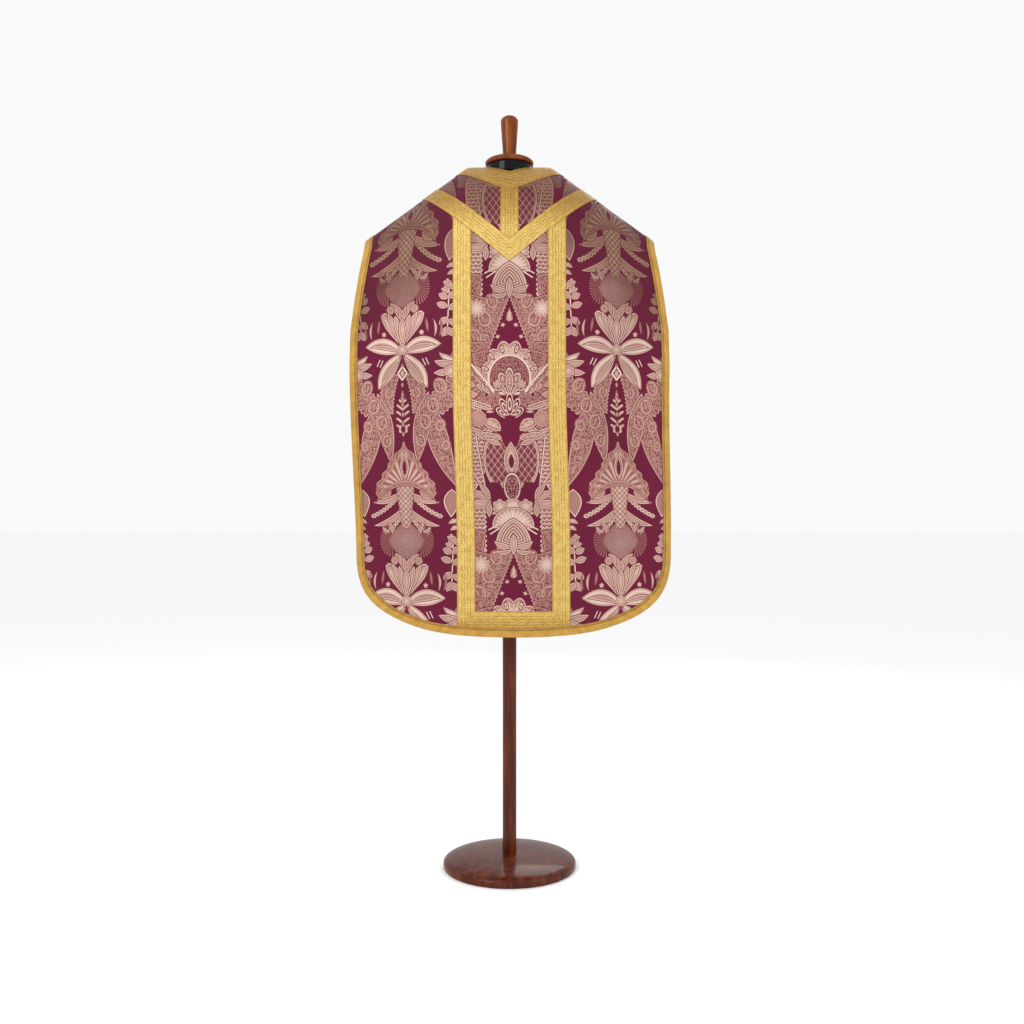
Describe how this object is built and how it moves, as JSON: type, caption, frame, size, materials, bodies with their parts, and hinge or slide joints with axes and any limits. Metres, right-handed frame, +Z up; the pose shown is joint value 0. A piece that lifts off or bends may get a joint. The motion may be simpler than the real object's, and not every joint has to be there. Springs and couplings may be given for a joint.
{
  "type": "roman chasuble on dress form",
  "caption": "Stiff brocade chasuble with gold galloons and binding, worn by a limbless dress form on a round wooden stand.",
  "frame": {"origin": "centre of the stand base's flat underside, on the floor", "axes": "+Z up along the stand's pole, -Y out of the back of the chasuble, +Y out of its front, +X to the right seen from behind"},
  "size_m": [0.7731, 0.323, 1.8383],
  "materials": {
    "brocade": "magenta silk brocade with a large rose and silver flower pattern, stiff, with a soft sheen",
    "gold_galloon": "woven metallic gold trimming with a small geometric repeat",
    "gold_braid": "deeper gold braid along the outer edges",
    "black_lacquer": "smooth glossy black",
    "dark_wood": "polished dark chestnut",
    "knob_wood": "polished red-brown wood"
  },
  "bodies": {
    "root": {"stand_base": "dark_wood", "stand_pole": "dark_wood", "form_torso": "black_lacquer", "neck_cap": "knob_wood", "finial_knob": "knob_wood", "back_panel": "brocade", "front_panel": "brocade", "neck_galloon": "gold_galloon", "yoke_galloon": "gold_galloon", "yoke_centre_galloon": "gold_galloon", "back_column_galloon_left": "gold_galloon", "back_column_galloon_right": "gold_galloon", "back_hem_galloon": "gold_galloon", "front_column_galloon_left": "gold_galloon", "front_column_galloon_right": "gold_galloon", "front_hem_galloon": "gold_galloon", "back_binding": "gold_braid", "front_binding": "gold_braid"}
  },
  "joints": []
}
